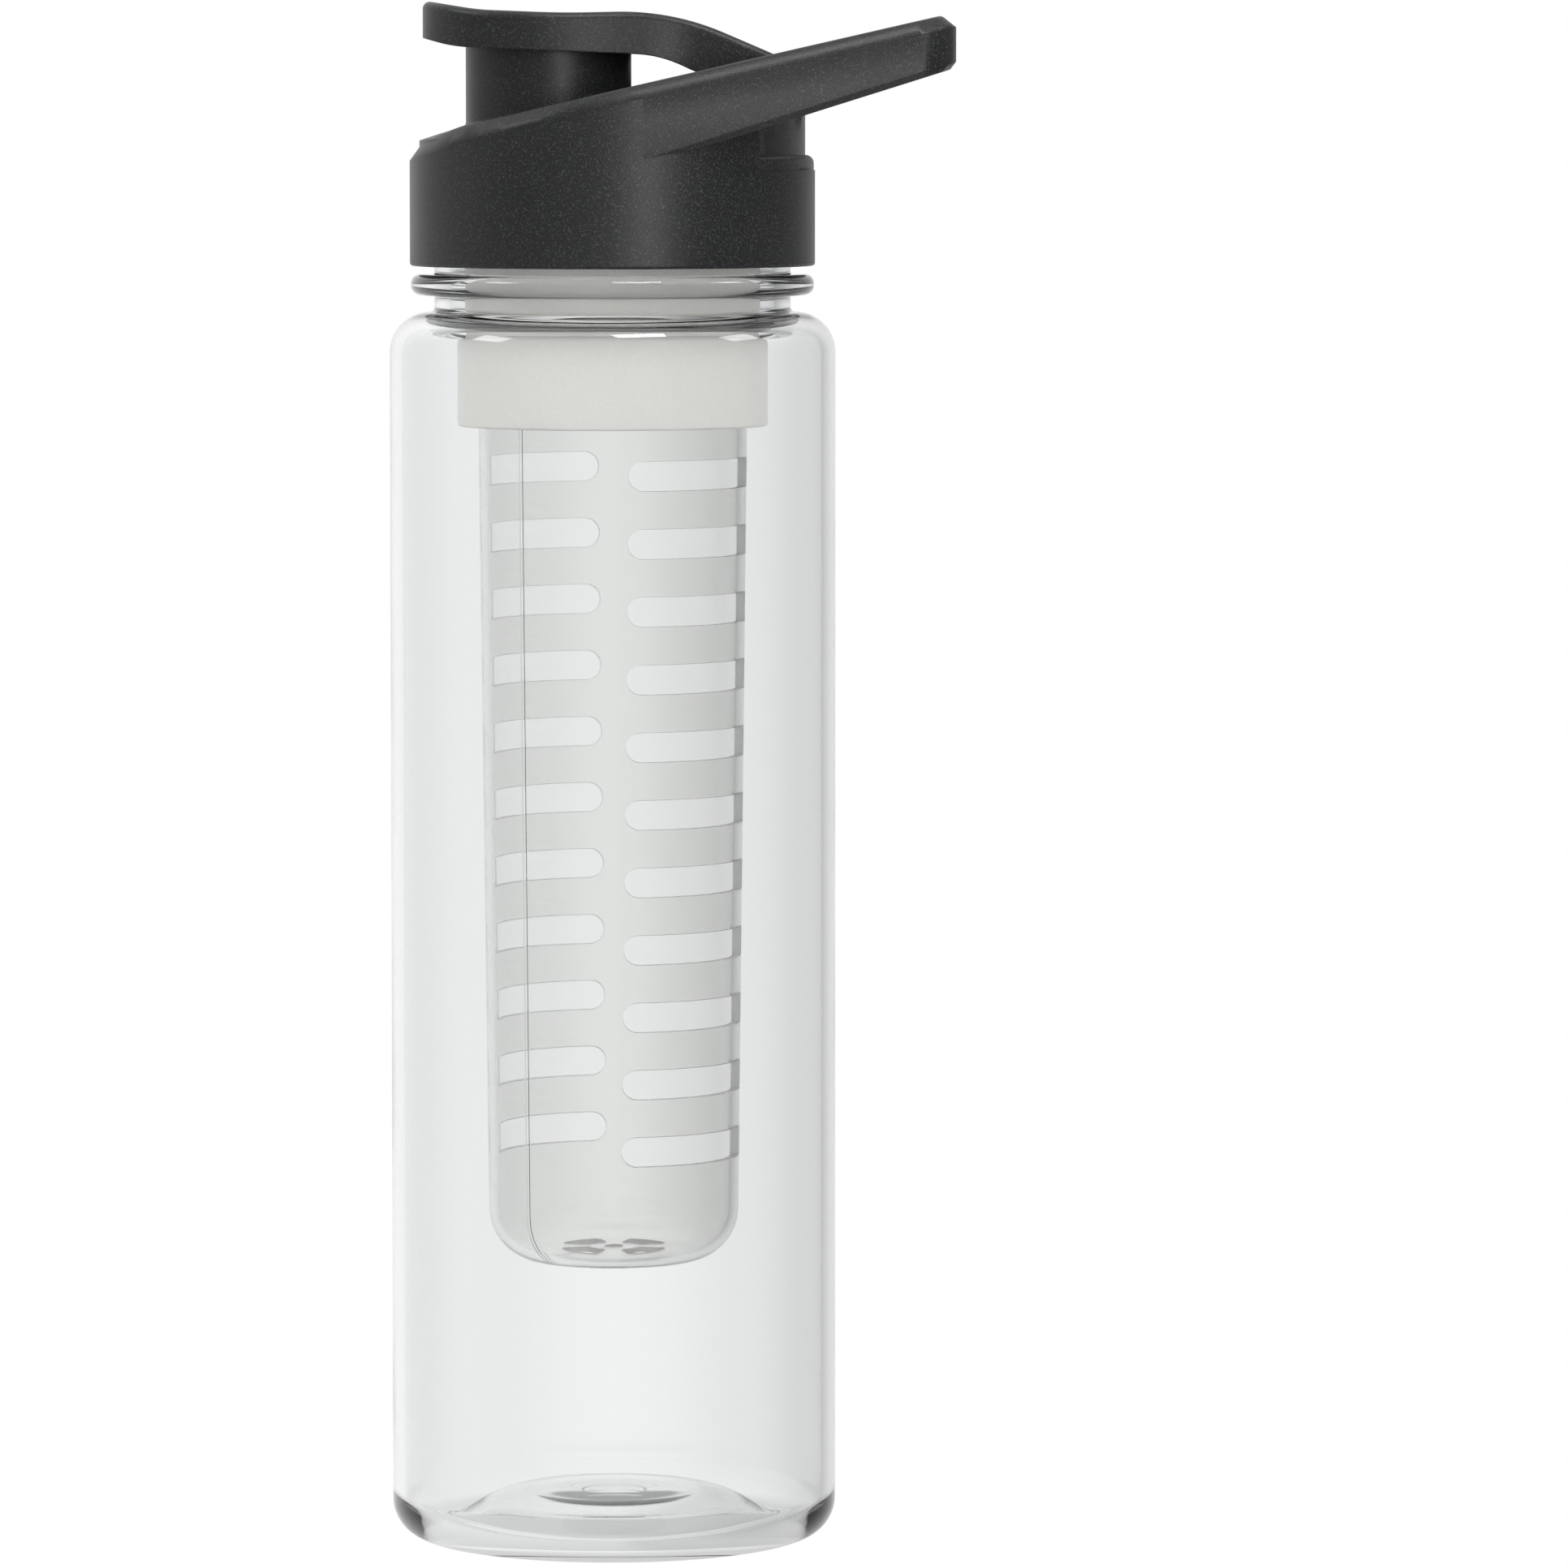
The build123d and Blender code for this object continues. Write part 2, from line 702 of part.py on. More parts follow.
def make_plug():
    """Return the hollow tapered plug that closes the spout."""
    top = lid_seat + lid_panel_thickness / 2
    tip = lid_seat - plug_depth
    top_radius = spout_bore_radius - plug_top_gap
    tip_radius = spout_bore_radius - plug_tip_gap
    profile = [
        (tip_radius - plug_wall, tip, plug_tip_round),
        (tip_radius, tip, plug_tip_round),
        (top_radius, lid_seat, 0),
        (top_radius, top, 0),
        (top_radius - plug_wall, top, 0),
    ]
    return Pos(spout_x, 0, 0) * turned(profile)


def make_flip_lid():
    """Return the flip lid: domed panel with a rim, plug, framed window and two hinge arms."""
    knuckle = Pos(hinge_x, 0, hinge_z) * Rot(90, 0, 0) * Cylinder(
        knuckle_radius, 2 * lid_hinge_half_width)
    lid = make_lid_blank() + knuckle
    lid -= make_lid_cavity()
    lid += make_plug()
    length = lid_window_length + 2 * lid_window_rear_gap
    lid -= Pos(lid_window_front + length / 2, 0, hinge_z) * Box(
        length, 2 * knuckle_gap_half_width, 4 * lid_rise)
    pin_hole = Pos(hinge_x, 0, hinge_z) * Rot(90, 0, 0) * Cylinder(
        pin_radius + pin_running_gap, 2 * knuckle_arm_half_width)
    return lid - pin_hole


export_list = {
    "bottle_body": make_bottle_body,
    "collar_gasket": make_neck_seal,
    "infuser_collar": make_infuser_collar,
    "infuser_tube": make_infuser_tube,
    "screw_cap": make_screw_cap,
    "cap_gasket": make_cap_seal,
    "hinge_pin": make_hinge_pin,
    "flip_lid": make_flip_lid,
}

os.makedirs("parts", exist_ok=True)
for node, make in export_list.items():
    export_step(make(), f"parts/{node}.step")
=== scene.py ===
"""Clear fruit infuser bottle with a black screw cap and flip lid, dressed on its CAD frame."""

import logging
import math
from dataclasses import dataclass
from enum import Enum

import bmesh
import bpy
from mathutils import Matrix, Vector


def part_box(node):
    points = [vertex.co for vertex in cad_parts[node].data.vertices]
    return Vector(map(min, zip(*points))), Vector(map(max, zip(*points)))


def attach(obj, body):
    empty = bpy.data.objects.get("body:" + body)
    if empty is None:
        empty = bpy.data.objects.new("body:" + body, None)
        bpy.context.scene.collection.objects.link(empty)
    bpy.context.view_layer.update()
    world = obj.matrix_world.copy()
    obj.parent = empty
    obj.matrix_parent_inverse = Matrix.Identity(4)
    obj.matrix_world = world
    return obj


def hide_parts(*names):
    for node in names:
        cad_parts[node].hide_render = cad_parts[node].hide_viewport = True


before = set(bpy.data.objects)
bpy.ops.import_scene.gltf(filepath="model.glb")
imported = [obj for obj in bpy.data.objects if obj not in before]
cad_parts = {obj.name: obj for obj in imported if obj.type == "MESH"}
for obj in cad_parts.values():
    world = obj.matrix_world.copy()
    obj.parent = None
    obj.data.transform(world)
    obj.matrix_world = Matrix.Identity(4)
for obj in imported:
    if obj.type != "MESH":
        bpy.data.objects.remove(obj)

MM = 0.001

# Meshes: segments of a turn, the angles that count as an arc's step, a crisp edge or a flat
# face, and the lengths that count as none
LATHE_STEPS = 192
ARC_STEP_DEGREES = 9
SHARP_DEGREES = 32.0
COPY_SHARP_DEGREES = 28.0
FLAT_DEGREES = 0.5
MERGE_DISTANCE = 0.002 * MM
FOOT_BAND = 3.0 * MM
ON_WALL = 0.02 * MM
UPRIGHT_SLOPE = 0.05

# Finishes: what the plastics share, and how far each pattern moves a value
WHITE = (1, 1, 1, 1)
TABLE_WHITE = (0.86, 0.86, 0.86, 1)
MOULDED_IOR = 1.49
SCATTER_COLOUR = (1.0, 0.95, 0.9)
HAZE_SPREAD = 0.4
GLOSS_SPREAD = 0.05
STEEL_GLOSS_SPREAD = 0.06
SPECKLE_RANGE = (0.52, 0.7)
RING_STRETCH = (0.05, 1.0, 0.05)
EDGE_SAMPLES = 4

# Each lamp's name, place and size in metres, its watts, and whether glossy faces mirror it
LAMPS = (
    ("high_middle", (0.22, -0.52, 1.25), (0.42, 0.2), 5.0, True),
    ("high_left", (-1.1, -0.25, 1.15), (0.45, 0.3), 3.0, True),
    ("high_right", (1.1, -0.1, 1.15), (0.45, 0.3), 3.0, True),
    ("left_front", (-1.3, -1.1, 0.6), (0.9, 0.9), 5.0, False),
    ("right_front", (1.1, -1.2, 0.9), (0.9, 0.9), 18.0, False),
)
LAMP_TARGET = (0, 0, 0.15)

logger = logging.getLogger("bottle")


class Turn(Enum):
    """Which half of the infuser tube a slot column sits in, as its turn about Z."""

    FRONT = 0.0
    REAR = math.pi


class Op(Enum):
    """How a cutter or an addition is combined with a piece."""

    CUT = "DIFFERENCE"
    JOIN = "UNION"


def hex_to_linear(code: str) -> tuple[float, float, float, float]:
    """Turn an sRGB hex colour into Blender's linear colour.

    Args:
        code: The colour, such as "#2B2C2D".

    Returns:
        Red, green and blue in linear light, then a full alpha.
    """
    channels = []
    for start in (1, 3, 5):
        value = int(code[start:start + 2], 16) / 255
        channels.append(value / 12.92 if value <= 0.04045 else ((value + 0.055) / 1.055) ** 2.4)
    return channels[0], channels[1], channels[2], 1.0


def add_node(
    tree: bpy.types.NodeTree,
    kind: str,
    values: dict | None = None,
    links: dict | None = None,
    **settings: object,
) -> bpy.types.Node:
    """Add one shader node with its settings, socket values and incoming links.

    Args:
        tree: The node tree that gets the node.
        kind: Blender's name of the node type.
        values: Socket name or number to its plain value.
        links: Socket name or number to the output socket that feeds it.
        **settings: Properties of the node itself.

    Returns:
        The new node.
    """
    node = tree.nodes.new(kind)
    for name, value in settings.items():
        setattr(node, name, value)
    for socket, value in (values or {}).items():
        node.inputs[socket].default_value = value
    for socket, source in (links or {}).items():
        tree.links.new(source, node.inputs[socket])
    return node


def new_material(name: str) -> tuple[bpy.types.Material, bpy.types.NodeTree]:
    """Return an empty node material and its tree."""
    material = bpy.data.materials.new(name)
    material.use_nodes = True
    material.node_tree.nodes.clear()
    return material, material.node_tree


def grain_scale(grain_mm: float) -> float:
    """Return the noise scale whose features are about a grain across, on metres."""
    return 1.0 / (grain_mm * MM)


@dataclass(frozen=True)
class ClearPlastic:
    """A clear moulded plastic: smooth, with the slow waves that a mould or blow leaves.

    Its clarity is the share of it that light passes through. A piece with a seam has the
    mould's parting line up one side, at a turn about Z.
    """

    name: str
    tint: str
    ior: float
    roughness: float
    wave_mm: float
    wave_height_mm: float
    clarity: float = 1.0
    seam_degrees: float | None = None
    seam_width_mm: float = 0.35
    seam_height_mm: float = 0.05

    def seam_bump(self, tree: bpy.types.NodeTree, place: bpy.types.Node,
                  below: bpy.types.Node) -> bpy.types.Node:
        """Raise the parting line on top of another bump.

        Args:
            tree: The material's nodes.
            place: The texture coordinates.
            below: The bump that it lies on.

        Returns:
            The bump node that holds both.
        """
        turned = add_node(
            tree, "ShaderNodeMapping",
            {"Rotation": (0, 0, -math.radians(self.seam_degrees))},
            {"Vector": place.outputs["Object"]})
        parts = add_node(tree, "ShaderNodeSeparateXYZ", links={"Vector": turned.outputs["Vector"]})
        aside = add_node(
            tree, "ShaderNodeMath", links={0: parts.outputs["Y"]}, operation="ABSOLUTE")
        ridge = add_node(
            tree, "ShaderNodeMapRange",
            {"From Min": 0.0, "From Max": self.seam_width_mm / 2 * MM, "To Min": 1.0,
             "To Max": 0.0},
            {"Value": aside.outputs[0]}, interpolation_type="SMOOTHSTEP")
        ahead = add_node(
            tree, "ShaderNodeMath", {1: 0.0}, {0: parts.outputs["X"]}, operation="GREATER_THAN")
        height = add_node(
            tree, "ShaderNodeMath", links={0: ridge.outputs["Result"], 1: ahead.outputs[0]},
            operation="MULTIPLY")
        return add_node(
            tree, "ShaderNodeBump", {"Strength": 1.0, "Distance": self.seam_height_mm * MM},
            {"Height": height.outputs[0], "Normal": below.outputs["Normal"]})

    def make(self) -> bpy.types.Material:
        """Build the material.

        Returns:
            The clear material.
        """
        material, tree = new_material(self.name)
        place = add_node(tree, "ShaderNodeTexCoord")
        waves = add_node(
            tree, "ShaderNodeTexNoise", {"Scale": grain_scale(self.wave_mm), "Detail": 1.0},
            {"Vector": place.outputs["Object"]})
        bump = add_node(
            tree, "ShaderNodeBump", {"Strength": 1.0, "Distance": self.wave_height_mm * MM},
            {"Height": waves.outputs["Fac"]})
        if self.seam_degrees is not None:
            bump = self.seam_bump(tree, place, bump)
        haze = add_node(
            tree, "ShaderNodeMapRange",
            {"To Min": self.roughness * (1 - HAZE_SPREAD),
             "To Max": self.roughness * (1 + HAZE_SPREAD)},
            {"Value": waves.outputs["Fac"]})
        shader = add_node(
            tree, "ShaderNodeBsdfPrincipled",
            {"Base Color": hex_to_linear(self.tint), "IOR": self.ior,
             "Transmission Weight": self.clarity},
            {"Normal": bump.outputs["Normal"], "Roughness": haze.outputs["Result"]})
        add_node(tree, "ShaderNodeOutputMaterial", links={"Surface": shader.outputs["BSDF"]})
        return material


@dataclass(frozen=True)
class MouldedPlastic:
    """An opaque moulded plastic with a fine eroded texture from its mould.

    The grain shows as bump and as a speckle of a third colour in the other two. An edge width
    softens the light on the edges that the mould leaves crisp.
    """

    name: str
    colour: str
    shade: str
    speckle: str
    roughness: float
    grain_mm: float
    grain_height_mm: float
    patch_mm: float
    subsurface: float = 0.0
    subsurface_radius_mm: float = 1.0
    edge_mm: float = 0.0

    def make(self) -> bpy.types.Material:
        """Build the material.

        Returns:
            The opaque material.
        """
        material, tree = new_material(self.name)
        place = add_node(tree, "ShaderNodeTexCoord")
        grain = add_node(
            tree, "ShaderNodeTexNoise",
            {"Scale": grain_scale(self.grain_mm), "Detail": 2.0, "Roughness": 0.6},
            {"Vector": place.outputs["Object"]})
        patches = add_node(
            tree, "ShaderNodeTexNoise", {"Scale": grain_scale(self.patch_mm), "Detail": 2.0},
            {"Vector": place.outputs["Object"]})
        colour = add_node(
            tree, "ShaderNodeMix",
            {"A": hex_to_linear(self.colour), "B": hex_to_linear(self.shade)},
            {"Factor": patches.outputs["Fac"]}, data_type="RGBA")
        dots = add_node(
            tree, "ShaderNodeMapRange",
            {"From Min": SPECKLE_RANGE[0], "From Max": SPECKLE_RANGE[1]},
            {"Value": grain.outputs["Fac"]}, interpolation_type="SMOOTHSTEP")
        speckled = add_node(
            tree, "ShaderNodeMix", {"B": hex_to_linear(self.speckle)},
            {"Factor": dots.outputs["Result"], "A": colour.outputs["Result"]}, data_type="RGBA")
        gloss = add_node(
            tree, "ShaderNodeMapRange",
            {"To Min": self.roughness - GLOSS_SPREAD, "To Max": self.roughness + GLOSS_SPREAD},
            {"Value": patches.outputs["Fac"]})
        bump = add_node(
            tree, "ShaderNodeBump", {"Strength": 1.0, "Distance": self.grain_height_mm * MM},
            {"Height": grain.outputs["Fac"]})
        if self.edge_mm > 0:
            edges = add_node(
                tree, "ShaderNodeBevel", {"Radius": self.edge_mm * MM}, samples=EDGE_SAMPLES)
            tree.links.new(edges.outputs["Normal"], bump.inputs["Normal"])
        shader = add_node(
            tree, "ShaderNodeBsdfPrincipled",
            {"IOR": MOULDED_IOR, "Subsurface Weight": self.subsurface,
             "Subsurface Radius": SCATTER_COLOUR,
             "Subsurface Scale": self.subsurface_radius_mm * MM},
            {"Base Color": speckled.outputs["Result"], "Roughness": gloss.outputs["Result"],
             "Normal": bump.outputs["Normal"]})
        add_node(tree, "ShaderNodeOutputMaterial", links={"Surface": shader.outputs["BSDF"]})
        return material


@dataclass(frozen=True)
class DrawnSteel:
    """Stainless pin stock: bright, with fine rings left by grinding."""

    name: str
    colour: str
    roughness: float
    ring_mm: float

    def make(self) -> bpy.types.Material:
        """Build the material.

        Returns:
            The metal material.
        """
        material, tree = new_material(self.name)
        place = add_node(tree, "ShaderNodeTexCoord")
        stretch = add_node(
            tree, "ShaderNodeMapping", {"Scale": RING_STRETCH},
            {"Vector": place.outputs["Object"]})
        rings = add_node(
            tree, "ShaderNodeTexNoise", {"Scale": grain_scale(self.ring_mm), "Detail": 2.0},
            {"Vector": stretch.outputs["Vector"]})
        gloss = add_node(
            tree, "ShaderNodeMapRange",
            {"To Min": self.roughness - STEEL_GLOSS_SPREAD,
             "To Max": self.roughness + STEEL_GLOSS_SPREAD},
            {"Value": rings.outputs["Fac"]})
        shader = add_node(
            tree, "ShaderNodeBsdfPrincipled",
            {"Base Color": hex_to_linear(self.colour), "Metallic": 1.0},
            {"Roughness": gloss.outputs["Result"]})
        add_node(tree, "ShaderNodeOutputMaterial", links={"Surface": shader.outputs["BSDF"]})
        return material


# Copolyester, blown: glass-clear and glossy, its wall a little uneven, so edges behind it sway
COPOLYESTER = ClearPlastic("blown_copolyester", "#FAFBFB", 1.54, 0.02, 24.0, 0.03)

# Styrene-acrylonitrile, injected: clear and bright, a trace greyer, with faint flow marks and
# the mould's parting line up its front left side
STYRENE = ClearPlastic(
    "moulded_styrene_acrylonitrile", "#F7F7F6", 1.57, 0.03, 9.0, 0.012, seam_degrees=-132.0)

# The same plastic on the slots' walls, where the mould's cores leave it dull
STYRENE_CUT = ClearPlastic(
    "dull_styrene_acrylonitrile", "#F0F0EE", 1.57, 0.38, 1.5, 0.01, clarity=0.3)

# Polypropylene, white: milky, light enters a little, with a soft satin skin
WHITE_POLYPROPYLENE = MouldedPlastic(
    "white_polypropylene", "#F0EEEA", "#EAE8E4", "#F2F0EC", 0.34, 0.5, 0.004, 18.0, 0.25, 2.0)

# Polypropylene, black, from a spark-eroded mould: matte, its fine sparkle painted as lighter
# specks.
# The grain is drawn at 0.3 mm, about twice the real one, because it has to show.
BLACK_POLYPROPYLENE = MouldedPlastic(
    "black_polypropylene", "#0E0F10", "#121314", "#303132", 0.42, 0.3, 0.014, 14.0,
    edge_mm=0.4)

# Silicone: soft, pale and see-through at its edges, with a dusty skin
SILICONE = MouldedPlastic(
    "pale_silicone", "#DADCDB", "#D2D4D3", "#DFE1E0", 0.5, 0.6, 0.006, 8.0, 0.5, 3.0)

# Stainless steel, centreless ground: bright with hair-fine rings
STAINLESS = DrawnSteel("ground_stainless_steel", "#B9BABB", 0.3, 0.15)


def outline_points(rows: list[tuple[float, float, float]], closed: bool) -> list[Vector]:
    """Round the corners of an outline given as rows of radius, height and corner radius.

    Args:
        rows: Radius from the axis, height and rounding of each corner, in millimetres.
        closed: Whether the last corner joins the first.

    Returns:
        Points of the outline in the XZ plane, in metres.
    """
    points = []
    count = len(rows)
    for index, (radius, height, rounding) in enumerate(rows):
        corner = Vector((radius, 0, height)) * MM
        is_end = not closed and index in (0, count - 1)
        if rounding == 0 or is_end:
            points.append(corner)
            continue
        before = rows[index - 1]
        after = rows[(index + 1) % count]
        back = (Vector((before[0], 0, before[1])) * MM - corner).normalized()
        ahead = (Vector((after[0], 0, after[1])) * MM - corner).normalized()
        half = back.angle(ahead) / 2
        reach = rounding * MM / math.tan(half)
        centre = corner + (back + ahead).normalized() * (rounding * MM / math.sin(half))
        start = corner + back * reach - centre
        finish = corner + ahead * reach - centre
        sweep = start.angle(finish)
        steps = max(2, math.ceil(math.degrees(sweep) / ARC_STEP_DEGREES))
        turn_axis = start.cross(finish).normalized()
        for step in range(steps + 1):
            turn = Matrix.Rotation(sweep * step / steps, 3, turn_axis)
            points.append(centre + turn @ start)
    return points


def tidy_mesh(mesh: bmesh.types.BMesh) -> None:
    """Merge doubled points and turn every face outwards."""
    bmesh.ops.remove_doubles(mesh, verts=mesh.verts[:], dist=MERGE_DISTANCE)
    bmesh.ops.dissolve_degenerate(mesh, edges=mesh.edges[:], dist=MERGE_DISTANCE / 2)
    bmesh.ops.recalc_face_normals(mesh, faces=mesh.faces[:])


def lathe_mesh(rows: list[tuple[float, float, float]]) -> bmesh.types.BMesh:
    """Spin an outline about Z.

    Args:
        rows: The outline, as outline_points takes it. It is open if it starts on the axis.

    Returns:
        A closed mesh.
    """
    closed = rows[0][0] > 0
    points = outline_points(rows, closed)
    mesh = bmesh.new()
    corners = [mesh.verts.new(point) for point in points]
    edges = [mesh.edges.new(pair) for pair in zip(corners, corners[1:])]
    if closed:
        edges.append(mesh.edges.new((corners[-1], corners[0])))
    bmesh.ops.spin(
        mesh, geom=corners + edges, cent=(0, 0, 0), axis=(0, 0, 1), dvec=(0, 0, 0),
        angle=2 * math.pi, steps=LATHE_STEPS, use_merge=True, use_normal_flip=False,
        use_duplicate=False)
    tidy_mesh(mesh)
    return mesh


def add_object(name: str, mesh: bmesh.types.BMesh, material: bpy.types.Material | None = None,
               sharp_degrees: float = SHARP_DEGREES) -> bpy.types.Object:
    """Make a scene object of a mesh, smooth but for its sharp edges.

    Args:
        name: The piece's name.
        mesh: The shape, which is freed.
        material: Its finish.
        sharp_degrees: Faces that meet at more than this keep a crisp edge.

    Returns:
        The object, at the origin.
    """
    data = bpy.data.meshes.new(name)
    mesh.to_mesh(data)
    mesh.free()
    data.shade_smooth()
    data.set_sharp_from_angle(angle=math.radians(sharp_degrees))
    piece = bpy.data.objects.new(name, data)
    bpy.context.scene.collection.objects.link(piece)
    if material is not None:
        data.materials.append(material)
    return piece


def apply_modifiers(piece: bpy.types.Object) -> bpy.types.Mesh:
    """Make the mesh that a piece's modifiers show its own, and clear them.

    Args:
        piece: The object, which keeps its name and its finish.

    Returns:
        The object's new mesh.
    """
    graph = bpy.context.evaluated_depsgraph_get()
    result = bpy.data.meshes.new_from_object(piece.evaluated_get(graph))
    piece.modifiers.clear()
    old = piece.data
    piece.data = result
    result.name = piece.name
    bpy.data.meshes.remove(old)
    return result


def combine(piece: bpy.types.Object, tool: bmesh.types.BMesh, how: Op) -> None:
    """Cut a shape from a piece or join it on, and keep only the result.

    Args:
        piece: The object that changes.
        tool: The other shape, which is used up.
        how: Cut or join.
    """
    other = add_object(f"{piece.name}_tool", tool)
    modifier = piece.modifiers.new("combine", "BOOLEAN")
    modifier.operation = how.value
    modifier.solver = "EXACT"
    modifier.object = other
    result = apply_modifiers(piece)
    tool_data = other.data
    bpy.data.objects.remove(other)
    bpy.data.meshes.remove(tool_data)
    result.shade_smooth()
    result.set_sharp_from_angle(angle=math.radians(SHARP_DEGREES))


def copy_of_node(name: str, node: str, material: bpy.types.Material) -> bpy.types.Object:
    """Copy a CAD node, merge its triangles into larger faces and shade it evenly.

    Args:
        name: The new piece's name.
        node: The CAD node that is copied.
        material: The finish.

    Returns:
        The new piece.
    """
    mesh = bmesh.new()
    mesh.from_mesh(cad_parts[node].data)
    bmesh.ops.remove_doubles(mesh, verts=mesh.verts[:], dist=MERGE_DISTANCE)
    bmesh.ops.dissolve_limit(
        mesh, angle_limit=math.radians(FLAT_DEGREES), verts=mesh.verts[:], edges=mesh.edges[:])
    piece = add_object(name, mesh, material, COPY_SHARP_DEGREES)
    modifier = piece.modifiers.new("even_shading", "WEIGHTED_NORMAL")
    modifier.keep_sharp = True
    return piece


def shade_round_wall(piece: bpy.types.Object) -> None:
    """Keep a piece's even shading, with the round wall at its foot shaded as a true cylinder.

    Args:
        piece: The piece, whose modifiers are applied.
    """
    result = apply_modifiers(piece)
    foot = min(vert.co.z for vert in result.vertices) + FOOT_BAND
    radius = max(math.hypot(vert.co.x, vert.co.y) for vert in result.vertices if vert.co.z < foot)
    normals = [corner.vector.copy() for corner in result.corner_normals]
    for face in result.polygons:
        corners = [result.vertices[index].co for index in face.vertices]
        if abs(face.normal.z) < UPRIGHT_SLOPE and all(
                abs(math.hypot(corner.x, corner.y) - radius) < ON_WALL for corner in corners):
            for loop, corner in zip(face.loop_indices, corners):
                normals[loop] = Vector((corner.x, corner.y, 0)).normalized()
    result.normals_split_custom_set(normals)


def stand_in(piece: bpy.types.Object, node: str, body: str) -> None:
    """Let a piece take a CAD node's place on its body."""
    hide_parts(node)
    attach(piece, body)
    logger.info("%s: %d faces on %s", piece.name, len(piece.data.polygons), body)


@dataclass
class Thread:
    """One start of screw thread, in millimetres: a ridge wound about Z."""

    lead: float = 5.0
    turns: float = 1.75
    root_width: float = 1.9
    crest_width: float = 0.9
    sink: float = 0.3
    steps_per_turn: int = 96

    def ridge(self, root_radius: float, depth: float, start: float) -> bmesh.types.BMesh:
        """Wind the ridge.

        Args:
            root_radius: Radius of the wall that carries it.
            depth: How far it stands out, or in where negative.
            start: Height of its lower end's middle.

        Returns:
            The closed ridge.
        """
        inner = root_radius - math.copysign(self.sink, depth)
        corners = (
            (inner, -self.root_width / 2), (root_radius + depth, -self.crest_width / 2),
            (root_radius + depth, self.crest_width / 2), (inner, self.root_width / 2))
        mesh = bmesh.new()
        ring = [mesh.verts.new((radius * MM, 0, (start + rise) * MM)) for radius, rise in corners]
        edges = [mesh.edges.new((ring[index - 1], ring[index])) for index in range(len(ring))]
        bmesh.ops.spin(
            mesh, geom=ring + edges, cent=(0, 0, 0), axis=(0, 0, 1),
            dvec=(0, 0, self.lead / self.steps_per_turn * MM),
            angle=2 * math.pi * self.turns, steps=round(self.steps_per_turn * self.turns),
            use_merge=False, use_normal_flip=False, use_duplicate=False)
        ends = [edge for edge in mesh.edges if edge.is_boundary]
        bmesh.ops.holes_fill(mesh, edges=ends, sides=0)
        tidy_mesh(mesh)
        return mesh


@dataclass
class Bottle:
    """The clear blown bottle with its threaded neck, in millimetres."""

    radius: float = 37.5
    wall: float = 2.2
    base_thickness: float = 2.6
    base_corner: float = 6.5
    foot_inner: float = 27.5
    foot_edge: float = 1.5
    dome_flat: float = 18.0
    dome_rise: float = 5.5
    dome_blend: float = 14.0
    gate_radius: float = 5.3
    gate_height: float = 0.6
    gate_edge: float = 0.25
    shoulder: float = 207.4
    shoulder_round: float = 6.8
    neck_radius: float = 29.95
    neck_bore: float = 27.3
    neck_root: float = 0.7
    rim: float = 229.5
    rim_round: float = 0.5
    ring_radius: float = 33.9
    ring_bottom: float = 210.2
    ring_top: float = 213.7
    ring_round: float = 1.6
    ring_root: float = 0.4
    thread_start: float = 218.6
    thread_depth: float = 1.1

    def rows(self) -> list[tuple[float, float, float]]:
        """Return the bottle's half section from the outside of its base to the inside."""
        inside = self.radius - self.wall
        inner_shoulder = self.shoulder - self.wall
        inner_floor = self.dome_rise + self.base_thickness
        return [
            (0, self.dome_rise - self.gate_height, 0),
            (self.gate_radius, self.dome_rise - self.gate_height, self.gate_edge),
            (self.gate_radius, self.dome_rise, self.gate_edge),
            (self.dome_flat, self.dome_rise, self.dome_blend),
            (self.foot_inner, 0, self.foot_edge),
            (self.radius, 0, self.base_corner),
            (self.radius, self.shoulder, self.shoulder_round),
            (self.neck_radius, self.shoulder, self.neck_root),
            (self.neck_radius, self.ring_bottom, self.ring_root),
            (self.ring_radius, self.ring_bottom, self.ring_round),
            (self.ring_radius, self.ring_top, self.ring_round),
            (self.neck_radius, self.ring_top, self.ring_root),
            (self.neck_radius, self.rim, self.rim_round),
            (self.neck_bore, self.rim, self.rim_round),
            (self.neck_bore, inner_shoulder, self.foot_edge),
            (inside, inner_shoulder, self.shoulder_round - self.wall),
            (inside, self.base_thickness, self.base_corner - self.wall / 2),
            (self.foot_inner + self.wall / 2, self.base_thickness, self.foot_edge),
            (self.dome_flat + self.gate_height, inner_floor, self.dome_blend),
            (0, inner_floor, 0),
        ]

    def build(self, material: bpy.types.Material) -> None:
        """Model the bottle and put it in its node's place.

        Args:
            material: The clear finish.
        """
        piece = add_object("clear_bottle", lathe_mesh(self.rows()), material)
        ridge = Thread().ridge(self.neck_radius, self.thread_depth, self.thread_start)
        combine(piece, ridge, Op.JOIN)
        stand_in(piece, "bottle_body", "bottle")


